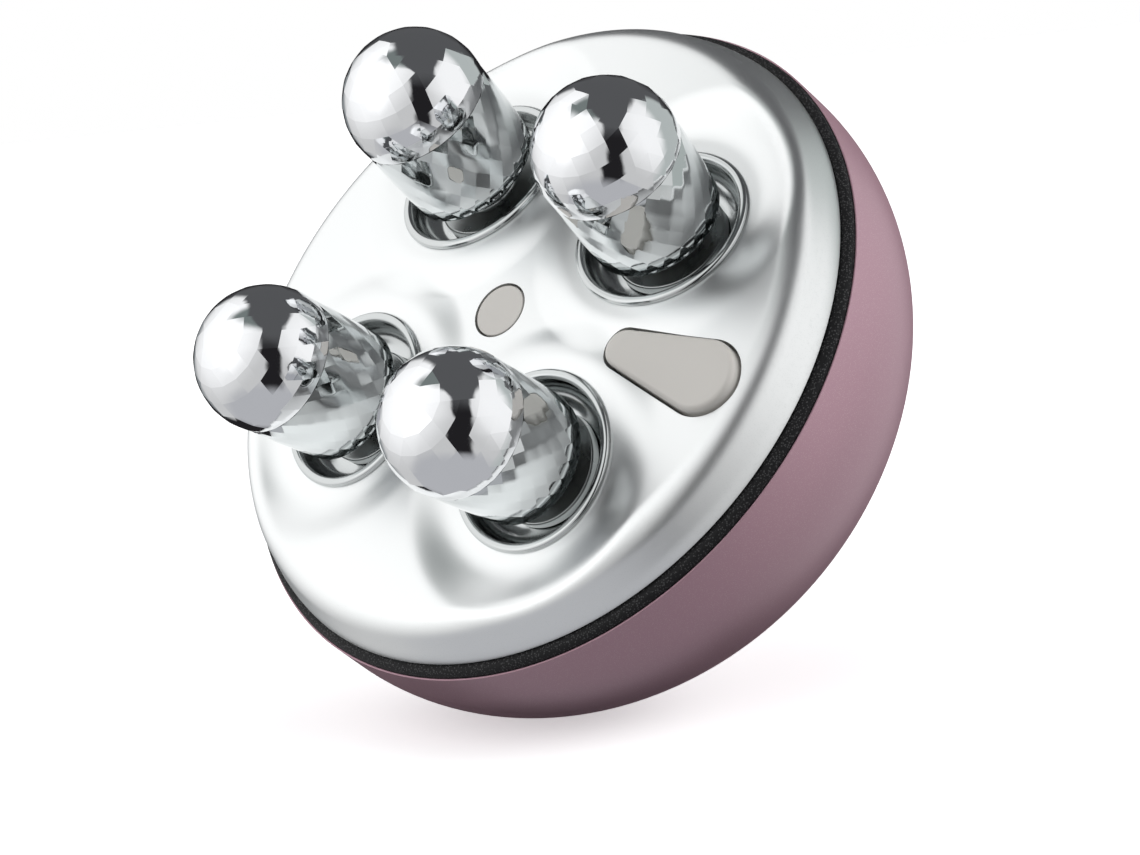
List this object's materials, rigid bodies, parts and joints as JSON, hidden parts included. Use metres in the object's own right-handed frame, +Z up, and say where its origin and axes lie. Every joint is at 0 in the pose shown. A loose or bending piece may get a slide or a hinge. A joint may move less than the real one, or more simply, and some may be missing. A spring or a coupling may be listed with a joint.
{
  "type": "microcurrent face roller",
  "caption": "Palm-sized domed face roller whose splayed, diamond-cut chrome rollers spin in raised cups on a satin face plate, with a teardrop power button.",
  "frame": {"origin": "middle of the flat foot under the dome", "axes": "+Z up through the middle of the face plate, +X towards the power button"},
  "size_m": [0.094, 0.094, 0.0743],
  "materials": {
    "pink_satin": "satin metallic coating",
    "black_rubber": "matte, fine grain",
    "silver_satin": "satin plated",
    "chrome": "mirror bright",
    "warm_grey": "soft gloss",
    "white_moulding": "plain",
    "black_plastic": "plain",
    "board_green": "lacquered",
    "steel": "ground",
    "gold": "plated",
    "cell_foil": "foil"
  },
  "bodies": {
    "housing": {"bottom_shell": "pink_satin", "charge_contact_1": "gold", "charge_contact_2": "gold", "band_gasket": "black_rubber", "face_plate": "silver_satin", "roller_frame": "white_moulding", "indicator_lens": "warm_grey", "tact_switch": "black_plastic", "strip_board": "board_green", "indicator_led": "white_moulding", "main_board": "board_green", "control_chip": "black_plastic", "battery_tray": "white_moulding", "battery_cell": "cell_foil", "plate_screw_1": "steel", "plate_screw_2": "steel", "plate_screw_3": "steel", "plate_screw_4": "steel", "board_screw_1": "steel", "board_screw_2": "steel", "roller_cup_1": "chrome", "cup_seal_1": "black_rubber", "axle_1": "steel", "retaining_clip_1": "steel", "contact_leaf_1": "gold", "roller_cup_2": "chrome", "cup_seal_2": "black_rubber", "axle_2": "steel", "retaining_clip_2": "steel", "contact_leaf_2": "gold", "roller_cup_3": "chrome", "cup_seal_3": "black_rubber", "axle_3": "steel", "retaining_clip_3": "steel", "contact_leaf_3": "gold", "roller_cup_4": "chrome", "cup_seal_4": "black_rubber", "axle_4": "steel", "retaining_clip_4": "steel", "contact_leaf_4": "gold"},
    "roller_1": {"roller_body_1": "chrome", "roller_cap_1": "chrome", "lower_bush_1": "white_moulding", "upper_bush_1": "white_moulding"},
    "roller_2": {"roller_body_2": "chrome", "roller_cap_2": "chrome", "lower_bush_2": "white_moulding", "upper_bush_2": "white_moulding"},
    "roller_3": {"roller_body_3": "chrome", "roller_cap_3": "chrome", "lower_bush_3": "white_moulding", "upper_bush_3": "white_moulding"},
    "roller_4": {"roller_body_4": "chrome", "roller_cap_4": "chrome", "lower_bush_4": "white_moulding", "upper_bush_4": "white_moulding"},
    "button": {"power_button": "warm_grey", "switch_plunger": "white_moulding"}
  },
  "joints": [
    {"name": "roller_1_spin", "type": "hinge", "parent": "housing", "child": "roller_1", "pos_m": [-0.0174, 0.017, 0.05005], "axis": [-0.062, 0.1579, 0.9855], "continuous": true},
    {"name": "roller_2_spin", "type": "hinge", "parent": "housing", "child": "roller_2", "pos_m": [0.0174, 0.017, 0.05005], "axis": [0.062, 0.1579, 0.9855], "continuous": true},
    {"name": "roller_3_spin", "type": "hinge", "parent": "housing", "child": "roller_3", "pos_m": [-0.0174, -0.017, 0.05005], "axis": [-0.062, -0.1579, 0.9855], "continuous": true},
    {"name": "roller_4_spin", "type": "hinge", "parent": "housing", "child": "roller_4", "pos_m": [0.0174, -0.017, 0.05005], "axis": [0.062, -0.1579, 0.9855], "continuous": true},
    {"name": "button_press", "type": "slide", "parent": "housing", "child": "button", "axis": [0, 0, 1], "range_m": [-0.0005, 0], "stiffness_N_per_m": 600, "springref_m": 0.0003}
  ]
}
